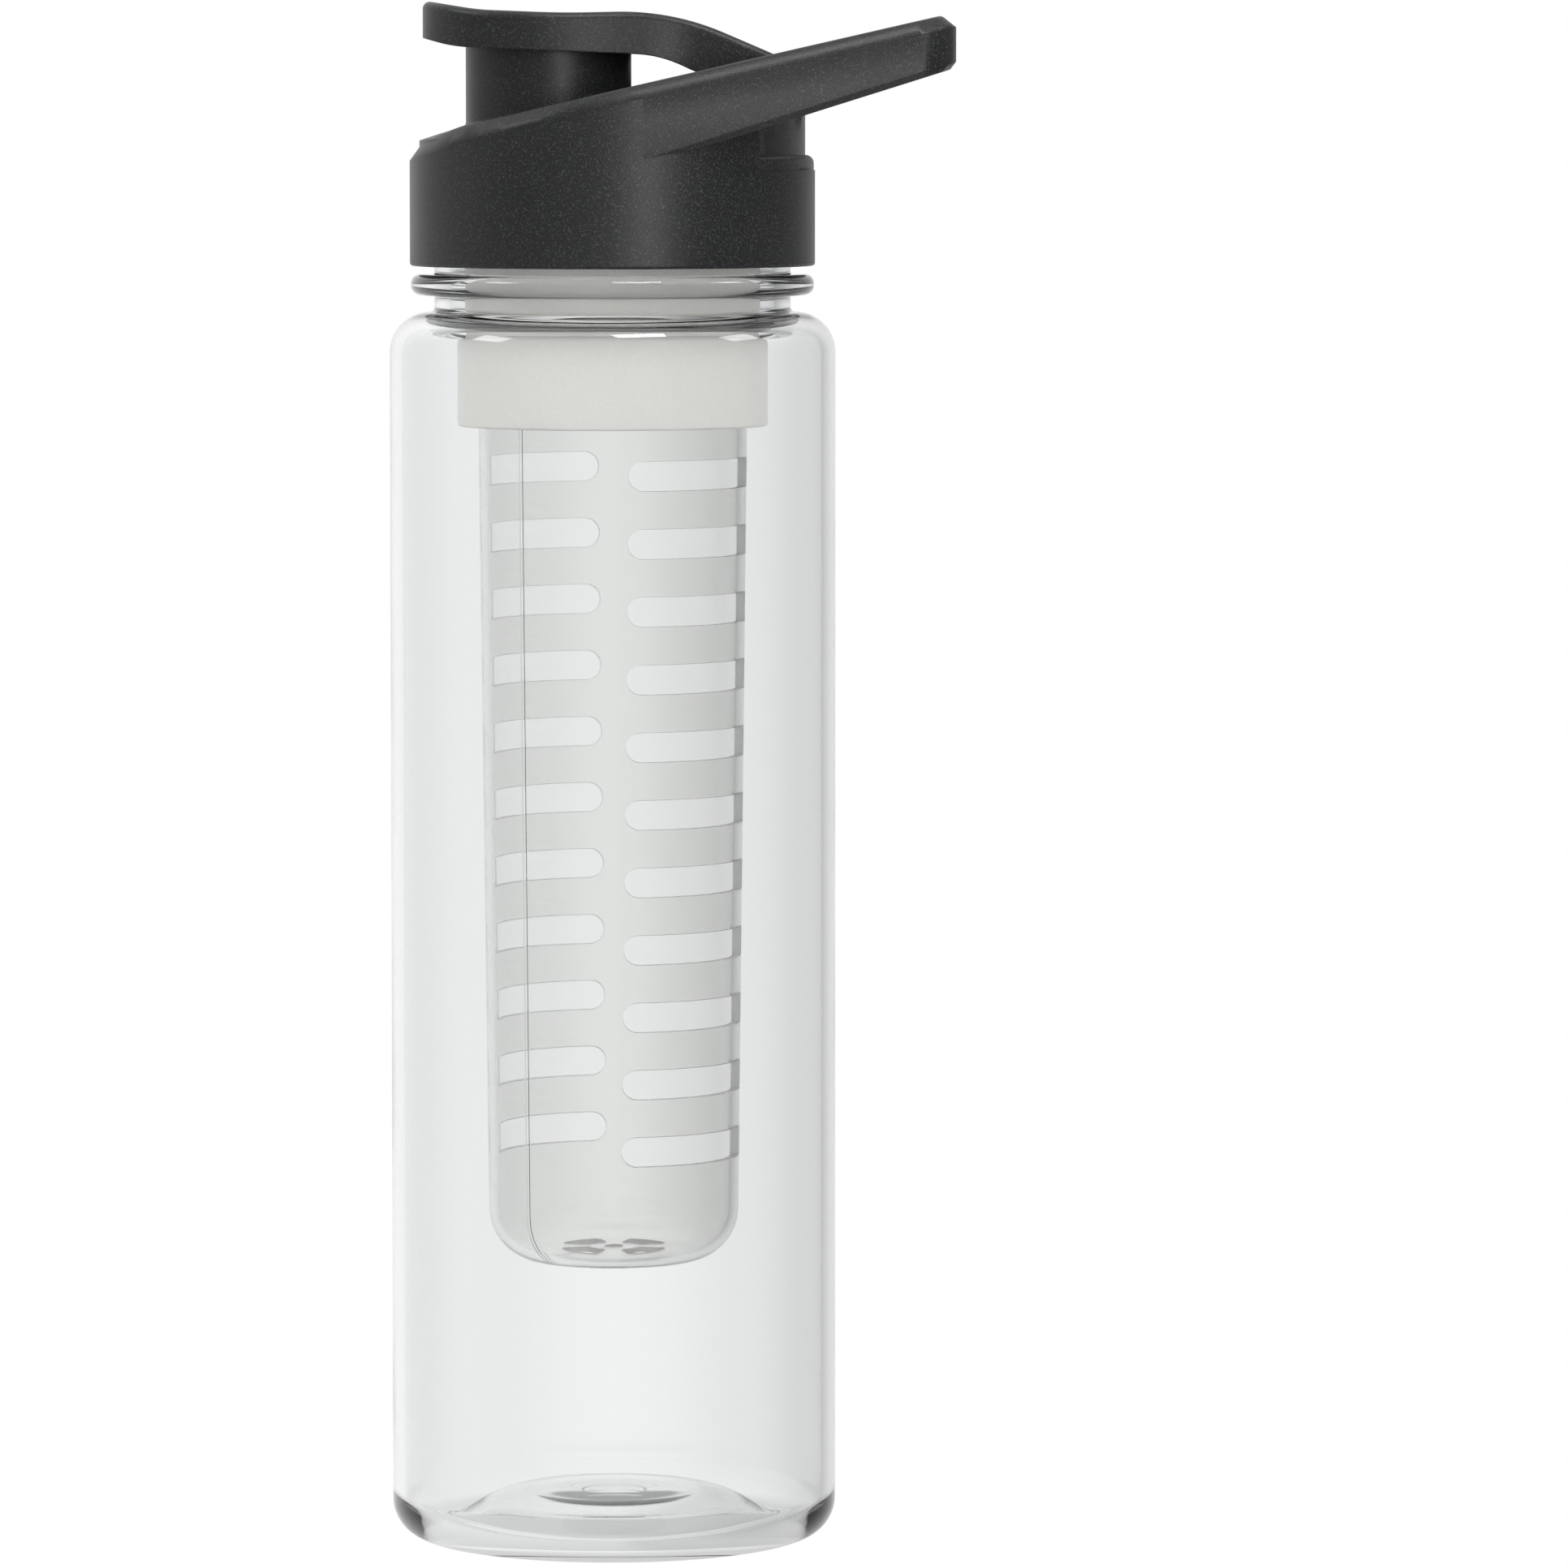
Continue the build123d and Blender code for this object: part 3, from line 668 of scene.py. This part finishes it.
@dataclass
class Infuser:
    """The white collar and the slotted tube that hangs from it, in millimetres."""

    tube_radius: float = 22.6
    taper: float = 1.6
    wall: float = 1.5
    bottom: float = 47.0
    corner: float = 9.0
    top: float = 204.05
    bead_height: float = 0.5
    bead_width: float = 1.6
    bead_drop: float = 3.0
    edge_round: float = 0.35
    drum_bottom: float = 188.2
    slot_count: int = 11
    slot_top: float = 180.5
    slot_pitch: float = 11.3
    slot_width: float = 5.0
    slot_edge_top: float = 2.95
    slot_edge_bottom: float = 1.65
    parting_web: float = 0.4
    slot_end_share: float = 0.499
    slot_end_segments: int = 10
    slot_wall_slope: float = 0.5
    drain_hole: float = 1.6
    drain_hole_segments: int = 32
    drain_ring_inner: float = 4.4
    drain_ring_outer: float = 9.4
    drain_count: int = 4
    drain_span_degrees: float = 58.0
    drain_steps: int = 10
    drain_corner: float = 1.0
    drain_corner_segments: int = 4
    drain_corner_degrees: float = 60.0
    flange_radius: float = 29.7
    flange_top: float = 232.0
    flange_bottom: float = 230.5
    guide_radius: float = 27.0
    guide_bottom: float = 227.0
    sleeve_radius: float = 24.8
    collar_opening: float = 21.6
    drum_radius: float = 26.1
    drum_top: float = 204.5
    drum_round: float = 1.1
    collar_edge: float = 0.5
    socket_gap: float = 0.1
    socket_depth: float = 16.0
    groove_clearance: float = 0.15

    def tube_rows(self) -> list[tuple[float, float, float]]:
        """Return the tube's half section, from the middle of its base out and back in."""
        foot = self.tube_radius - self.taper
        bead_top = self.top - self.bead_drop
        bead_bottom = bead_top - self.bead_width
        bead = self.tube_radius + self.bead_height
        inner = self.tube_radius - self.wall
        return [
            (0, self.bottom, 0),
            (foot, self.bottom, self.corner),
            (self.tube_radius, self.drum_bottom, 0),
            (self.tube_radius, bead_bottom, 0),
            (bead, bead_bottom, self.bead_height / 2),
            (bead, bead_top, self.bead_height / 2),
            (self.tube_radius, bead_top, 0),
            (self.tube_radius, self.top, self.edge_round),
            (inner, self.top, self.edge_round),
            (inner, self.drum_bottom, 0),
            (foot - self.wall, self.bottom + self.wall, self.corner - self.wall),
            (0, self.bottom + self.wall, 0),
        ]

    def slot_tool(self, half: Turn) -> bmesh.types.BMesh:
        """Make the cutters of one slot column.

        Args:
            half: The half of the tube that the column is in.

        Returns:
            All the column's slots as separate bars, each round at its inner end.
        """
        reach = self.tube_radius + self.corner
        tool = bmesh.new()
        for index in range(self.slot_count):
            share = index / (self.slot_count - 1)
            edge = self.slot_edge_top + (self.slot_edge_bottom - self.slot_edge_top) * share
            height = self.slot_top - self.slot_pitch * index
            size = Vector((reach - edge, reach - self.parting_web, self.slot_width)) * MM
            centre = Vector((
                (reach + edge) / 2, -(reach + self.parting_web) / 2, height)) * MM
            bar = bmesh.ops.create_cube(tool, size=1.0)["verts"]
            bmesh.ops.scale(tool, vec=size, verts=bar)
            bmesh.ops.translate(tool, vec=centre, verts=bar)
            ends = [
                link for link in {side for vert in bar for side in vert.link_edges}
                if all(vert.co.x < centre.x for vert in link.verts)
                and abs(link.verts[0].co.z - link.verts[1].co.z) < MERGE_DISTANCE]
            bmesh.ops.bevel(
                tool, geom=ends, offset=self.slot_width * self.slot_end_share * MM,
                offset_type="OFFSET", segments=self.slot_end_segments, profile=0.5,
                affect="EDGES", material=-1)
        bmesh.ops.rotate(
            tool, cent=(0, 0, 0), matrix=Matrix.Rotation(half.value, 3, "Z"), verts=tool.verts[:])
        tidy_mesh(tool)
        return tool

    def drain_tool(self) -> bmesh.types.BMesh:
        """Make the cutters of the hole and the curved slots in the tube's base."""
        tool = bmesh.new()
        height = 2 * self.corner * MM
        round_bar = bmesh.ops.create_cone(
            tool, cap_ends=True, segments=self.drain_hole_segments,
            radius1=self.drain_hole * MM, radius2=self.drain_hole * MM, depth=height)["verts"]
        bmesh.ops.translate(tool, vec=(0, 0, self.bottom * MM), verts=round_bar)
        span = math.radians(self.drain_span_degrees)
        low = (self.bottom - self.corner) * MM
        for index in range(self.drain_count):
            start = 2 * math.pi / self.drain_count * (index + 0.5) - span / 2
            section = bmesh.new()
            corners = [
                section.verts.new((radius * MM, 0, low + rise)) for radius, rise in (
                    (self.drain_ring_inner, 0), (self.drain_ring_outer, 0),
                    (self.drain_ring_outer, height), (self.drain_ring_inner, height))]
            edges = [
                section.edges.new((corners[i - 1], corners[i])) for i in range(len(corners))]
            bmesh.ops.spin(
                section, geom=corners + edges, cent=(0, 0, 0), axis=(0, 0, 1), dvec=(0, 0, 0),
                angle=span, steps=self.drain_steps, use_merge=False, use_normal_flip=False,
                use_duplicate=False)
            bmesh.ops.holes_fill(
                section, edges=[edge for edge in section.edges if edge.is_boundary], sides=0)
            upright = [
                edge for edge in section.edges
                if abs(edge.verts[0].co.z - edge.verts[1].co.z) > height / 2
                and edge.calc_face_angle(0) > math.radians(self.drain_corner_degrees)]
            bmesh.ops.bevel(
                section, geom=upright, offset=self.drain_corner * MM, offset_type="OFFSET",
                segments=self.drain_corner_segments, profile=0.5, affect="EDGES", material=-1)
            bmesh.ops.rotate(
                section, cent=(0, 0, 0), matrix=Matrix.Rotation(start, 3, "Z"),
                verts=section.verts[:])
            tidy_mesh(section)
            shape = bpy.data.meshes.new("drain_section")
            section.to_mesh(shape)
            section.free()
            tool.from_mesh(shape)
            bpy.data.meshes.remove(shape)
        return tool

    def dull_slot_walls(self, piece: bpy.types.Object, dull: bpy.types.Material) -> None:
        """Give the walls of the slots and drain holes their duller finish.

        Args:
            piece: The slotted tube.
            dull: The finish that the mould's cores leave.
        """
        piece.data.materials.append(dull)
        low = (self.slot_top - self.slot_pitch * self.slot_count) * MM
        base_middle = (self.bottom + self.wall / 2) * MM
        for face in piece.data.polygons:
            outwards = Vector((face.center.x, face.center.y, 0)).normalized()
            in_slot = (abs(face.normal.dot(outwards)) < self.slot_wall_slope
                       and low < face.center.z < self.drum_bottom * MM)
            in_drain = (abs(face.normal.z) < UPRIGHT_SLOPE
                        and abs(face.center.z - base_middle) < self.wall / 4 * MM)
            if in_slot or in_drain:
                face.material_index = 1

    def build_tube(self, material: bpy.types.Material, dull: bpy.types.Material) -> None:
        """Model the slotted tube and put it in its node's place.

        Args:
            material: The clear finish.
            dull: The finish of the slots' walls.
        """
        piece = add_object("slotted_tube", lathe_mesh(self.tube_rows()), material)
        for half in Turn:
            combine(piece, self.slot_tool(half), Op.CUT)
        combine(piece, self.drain_tool(), Op.CUT)
        self.dull_slot_walls(piece, dull)
        stand_in(piece, "infuser_tube", "bottle")

    def collar_rows(self) -> list[tuple[float, float, float]]:
        """Return the collar's half section, clockwise from the top of its opening."""
        socket = self.tube_radius + self.socket_gap
        socket_top = self.drum_bottom + self.socket_depth
        groove = self.tube_radius + self.bead_height + self.groove_clearance
        bead_top = self.top - self.bead_drop
        groove_top = bead_top + self.groove_clearance
        groove_bottom = bead_top - self.bead_width - self.groove_clearance
        return [
            (self.collar_opening, self.flange_top, self.collar_edge),
            (self.flange_radius, self.flange_top, self.collar_edge),
            (self.flange_radius, self.flange_bottom, 0),
            (self.guide_radius, self.flange_bottom, 0),
            (self.guide_radius, self.guide_bottom, self.collar_edge),
            (self.sleeve_radius, self.guide_bottom, self.collar_edge),
            (self.sleeve_radius, self.drum_top, self.collar_edge),
            (self.drum_radius, self.drum_top, self.drum_round),
            (self.drum_radius, self.drum_bottom, self.collar_edge),
            (socket, self.drum_bottom, self.collar_edge),
            (socket, groove_bottom, 0),
            (groove, groove_bottom, 0),
            (groove, groove_top, 0),
            (socket, groove_top, 0),
            (socket, socket_top, 0),
            (self.collar_opening, socket_top, 0),
        ]

    def build_collar(self, material: bpy.types.Material) -> None:
        """Model the collar and put it in its node's place.

        Args:
            material: The white finish.
        """
        piece = add_object("infuser_neck_collar", lathe_mesh(self.collar_rows()), material)
        stand_in(piece, "infuser_collar", "bottle")


@dataclass
class Seals:
    """The two soft rings stacked at the neck's rim, in millimetres."""

    collar_inner: float = 27.5
    cap_inner: float = 24.9
    edge_round: float = 0.25

    def build(self, material: bpy.types.Material) -> None:
        """Model both rings in the places that their nodes give.

        Args:
            material: The silicone finish.
        """
        for node, body, inner in (
            ("collar_gasket", "bottle", self.collar_inner),
            ("cap_gasket", "washer", self.cap_inner),
        ):
            low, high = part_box(node)
            outer = high[0] / MM
            rows = [
                (inner, low[2] / MM, self.edge_round), (outer, low[2] / MM, self.edge_round),
                (outer, high[2] / MM, self.edge_round), (inner, high[2] / MM, self.edge_round)]
            piece = add_object(f"soft_{node}", lathe_mesh(rows), material)
            stand_in(piece, node, body)


def dress_cap_and_lid(black: bpy.types.Material, steel: bpy.types.Material,
                      ) -> list[bpy.types.Object]:
    """Dress the black mouldings and the steel pin that joins them.

    Args:
        black: The matte black finish.
        steel: The pin's finish.

    Returns:
        The black pieces.
    """
    cap = copy_of_node("black_screw_cap", "screw_cap", black)
    shade_round_wall(cap)
    stand_in(cap, "screw_cap", "cap")
    lid = copy_of_node("black_flip_lid", "flip_lid", black)
    stand_in(lid, "flip_lid", "lid")
    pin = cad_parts["hinge_pin"]
    pin.data.materials.clear()
    pin.data.materials.append(steel)
    logger.info("hinge_pin: dressed in place")
    return [cap, lid]


@dataclass
class Studio:
    """The white table, backdrop, lamps and camera, in metres.

    A light is a strength, one being the white of the backdrop. A range is where a light falls
    off, as a share of the ray's direction.
    """

    photo_pixels: int = 1932
    axis_pixel: float = 755.0
    horizon_pixel: float = 100.0
    pixel_size: float = 0.00013665
    distance: float = 1.58
    camera_height: float = 0.246
    camera_reach: float = 50.0
    sensor_mm: float = 36.0
    floor_half_size: float = 20.0
    room_light: float = 0.65
    through_light: float = 1.9
    key_place: tuple[float, float, float] = (0.44, -1.22, 0.27)
    key_aim: tuple[float, float, float] = (0, 0, 0.24)
    key_size: tuple[float, float] = (0.4, 0.4)
    key_power: float = 3.3
    light_bounces: int = 40
    near_right_range: tuple[float, float] = (-0.02, 0.12)
    near_right_light: float = 0.85
    right_range: tuple[float, float] = (0.2, 0.95)
    right_light: float = 0.3
    left_range: tuple[float, float] = (-0.4, -1.0)
    left_light: float = 0.6
    front_range: tuple[float, float] = (0.0, -0.6)
    front_light: float = 0.45
    front_through_light: float = 0.85
    # A painted shadow on the table round the bottle's foot: how bright the table stays under it,
    # and the distances from the axis over which it fades out
    painted_shadow_level: float = 0.64
    painted_shadow_reach: tuple[float, float] = (0.029, 0.042)

    def add_camera(self) -> None:
        """Place the camera level with the cap, aimed as the photograph is framed."""
        focal_pixels = self.distance / self.pixel_size
        centre = self.photo_pixels / 2
        tilt = math.atan((centre - self.horizon_pixel) / focal_pixels)
        data = bpy.data.cameras.new("camera")
        data.sensor_width = self.sensor_mm
        data.sensor_fit = "HORIZONTAL"
        data.lens = self.sensor_mm * focal_pixels / self.photo_pixels
        data.clip_end = self.camera_reach
        camera = bpy.data.objects.new("camera", data)
        across = (centre - self.axis_pixel) * self.pixel_size
        camera.location = (across, -self.distance, self.camera_height)
        camera.rotation_euler = (math.pi / 2 - tilt, 0, 0)
        bpy.context.scene.collection.objects.link(camera)
        bpy.context.scene.camera = camera

    def side_light(self, tree: bpy.types.NodeTree, heading: bpy.types.NodeSocket,
                   ) -> bpy.types.NodeSocket:
        """Say how bright the room is in the direction that a ray goes.

        It is white behind the object, falls off a little to the right and much at the far
        sides, where the edges of clear pieces look, and is dimmer on the camera's side, the
        more so where it is mirrored and not seen through a clear piece.

        Args:
            tree: The nodes of the world or the table.
            heading: The ray's direction.

        Returns:
            The brightness.
        """
        parts = add_node(tree, "ShaderNodeSeparateXYZ", links={"Vector": heading})
        light = None
        for axis, reach, dimmest in (
            ("X", self.near_right_range, self.near_right_light),
            ("X", self.right_range, self.right_light),
            ("X", self.left_range, self.left_light),
            ("Y", self.front_range, self.front_light),
        ):
            fall = add_node(
                tree, "ShaderNodeMapRange",
                {"From Min": reach[0], "From Max": reach[1], "To Min": 1.0, "To Max": dimmest},
                {"Value": parts.outputs[axis]}, interpolation_type="SMOOTHSTEP")
            if light is None:
                light = fall.outputs["Result"]
                continue
            product = add_node(
                tree, "ShaderNodeMath", links={0: light, 1: fall.outputs["Result"]},
                operation="MULTIPLY")
            light = product.outputs[0]
        path = add_node(tree, "ShaderNodeLightPath")
        front = add_node(
            tree, "ShaderNodeMapRange",
            {"To Min": self.front_light, "To Max": self.front_through_light},
            {"Value": path.outputs["Transmission Depth"]})
        tree.links.new(front.outputs["Result"], fall.inputs["To Max"])
        return light

    def lights_matte(self, tree: bpy.types.NodeTree) -> bpy.types.NodeSocket:
        """Return one for rays that light a matte face, straight or through clear pieces."""
        path = add_node(tree, "ShaderNodeLightPath")
        bounced = add_node(
            tree, "ShaderNodeMath", {1: 0.5}, {0: path.outputs["Diffuse Depth"]},
            operation="GREATER_THAN")
        return bounced.outputs[0]

    def add_floor(self) -> None:
        """Lay the white table, dimmer where clear pieces mirror it or show it through them."""
        mesh = bmesh.new()
        bmesh.ops.create_grid(mesh, x_segments=1, y_segments=1, size=self.floor_half_size)
        material, tree = new_material("white_table")
        matte = add_node(tree, "ShaderNodeBsdfDiffuse", {"Color": TABLE_WHITE})
        seen = add_node(tree, "ShaderNodeEmission", {"Color": WHITE, "Strength": 1.0})
        geometry = add_node(tree, "ShaderNodeNewGeometry")
        heading = add_node(
            tree, "ShaderNodeVectorMath", {1: (-1, -1, -1)}, {0: geometry.outputs["Incoming"]},
            operation="MULTIPLY")
        spread = add_node(
            tree, "ShaderNodeVectorMath", links={0: geometry.outputs["Position"]},
            operation="LENGTH")
        # Painted shadow: the table's glow is dimmed round the bottle's foot for rays that reach it
        # mirrored or through clear pieces
        painted_foot_shadow = add_node(
            tree, "ShaderNodeMapRange",
            {"From Min": self.painted_shadow_reach[0], "From Max": self.painted_shadow_reach[1],
             "To Min": self.painted_shadow_level, "To Max": 1.0},
            {"Value": spread.outputs["Value"]}, interpolation_type="SMOOTHSTEP")
        strength = add_node(
            tree, "ShaderNodeMath",
            links={0: self.side_light(tree, heading.outputs[0]), 1: painted_foot_shadow.outputs["Result"]},
            operation="MULTIPLY")
        mirrored = add_node(
            tree, "ShaderNodeEmission", {"Color": WHITE}, {"Strength": strength.outputs[0]})
        path = add_node(tree, "ShaderNodeLightPath")
        unseen = add_node(
            tree, "ShaderNodeMixShader",
            links={0: self.lights_matte(tree), 1: mirrored.outputs[0], 2: matte.outputs[0]})
        mixed = add_node(
            tree, "ShaderNodeMixShader",
            links={0: path.outputs["Is Camera Ray"], 1: unseen.outputs[0], 2: seen.outputs[0]})
        add_node(tree, "ShaderNodeOutputMaterial", links={"Surface": mixed.outputs[0]})
        floor = add_object("table", mesh, material)

    def add_world(self) -> None:
        """Light the room evenly, and dim its sides where clear and glossy pieces look.

        The even light is for matte faces. It is stronger where it comes through a clear
        piece, which takes some of it.
        """
        world = bpy.data.worlds.new("room")
        bpy.context.scene.world = world
        world.use_nodes = True
        tree = world.node_tree
        tree.nodes.clear()
        seen = add_node(tree, "ShaderNodeBackground", {"Color": WHITE, "Strength": 1.0})
        path = add_node(tree, "ShaderNodeLightPath")
        strength = add_node(
            tree, "ShaderNodeMapRange",
            {"To Min": self.room_light, "To Max": self.through_light},
            {"Value": path.outputs["Is Transmission Ray"]})
        room = add_node(
            tree, "ShaderNodeBackground", {"Color": WHITE},
            {"Strength": strength.outputs["Result"]})
        place = add_node(tree, "ShaderNodeTexCoord")
        mirrored = add_node(
            tree, "ShaderNodeBackground", {"Color": WHITE},
            {"Strength": self.side_light(tree, place.outputs["Generated"])})
        unseen = add_node(
            tree, "ShaderNodeMixShader",
            links={0: self.lights_matte(tree), 1: mirrored.outputs[0], 2: room.outputs[0]})
        mixed = add_node(
            tree, "ShaderNodeMixShader",
            links={0: path.outputs["Is Camera Ray"], 1: unseen.outputs[0], 2: seen.outputs[0]})
        add_node(tree, "ShaderNodeOutputWorld", links={"Surface": mixed.outputs[0]})

    def add_lamp(self, name: str, place: tuple, aim: tuple, size: tuple, power: float,
                 is_mirrored: bool = False) -> bpy.types.Object:
        """Hang one soft lamp.

        Args:
            name: The lamp's name.
            place: Where it hangs.
            aim: The point that it faces.
            size: Its width and height.
            power: Its power in watts.
            is_mirrored: Whether glossy faces show it as a highlight.

        Returns:
            The lamp.
        """
        data = bpy.data.lights.new(name, "AREA")
        data.shape = "RECTANGLE"
        data.size, data.size_y = size
        data.energy = power
        lamp = bpy.data.objects.new(name, data)
        lamp.location = place
        lamp.rotation_euler = (Vector(aim) - Vector(place)).to_track_quat("-Z", "Y").to_euler()
        lamp.visible_glossy = is_mirrored
        lamp.visible_transmission = False
        bpy.context.scene.collection.objects.link(lamp)
        return lamp

    def light_black(self, pieces: list[bpy.types.Object]) -> None:
        """Hang a lamp level with the cap that only the black pieces catch.

        Args:
            pieces: The black pieces.
        """
        lamp = self.add_lamp(
            "cap_key", self.key_place, self.key_aim, self.key_size, self.key_power,
            is_mirrored=True)
        group = bpy.data.collections.new("black_pieces")
        for piece in pieces:
            group.objects.link(piece)
        lamp.light_linking.receiver_collection = group

    def build(self) -> None:
        """Set up the whole studio."""
        self.add_camera()
        self.add_floor()
        self.add_world()
        for name, place, size, power, is_mirrored in LAMPS:
            self.add_lamp(name, place, LAMP_TARGET, size, power, is_mirrored)
        scene = bpy.context.scene
        scene.view_settings.view_transform = "Standard"
        scene.cycles.max_bounces = self.light_bounces
        scene.cycles.transmission_bounces = self.light_bounces


def main() -> None:
    """Dress the bottle piece by piece and set up the studio."""
    logging.basicConfig(level=logging.INFO, format="%(message)s")
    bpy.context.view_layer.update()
    studio = Studio()
    studio.build()
    Bottle().build(COPOLYESTER.make())
    infuser = Infuser()
    infuser.build_tube(STYRENE.make(), STYRENE_CUT.make())
    infuser.build_collar(WHITE_POLYPROPYLENE.make())
    Seals().build(SILICONE.make())
    black_pieces = dress_cap_and_lid(BLACK_POLYPROPYLENE.make(), STAINLESS.make())
    studio.light_black(black_pieces)


if __name__ == "__main__":
    main()
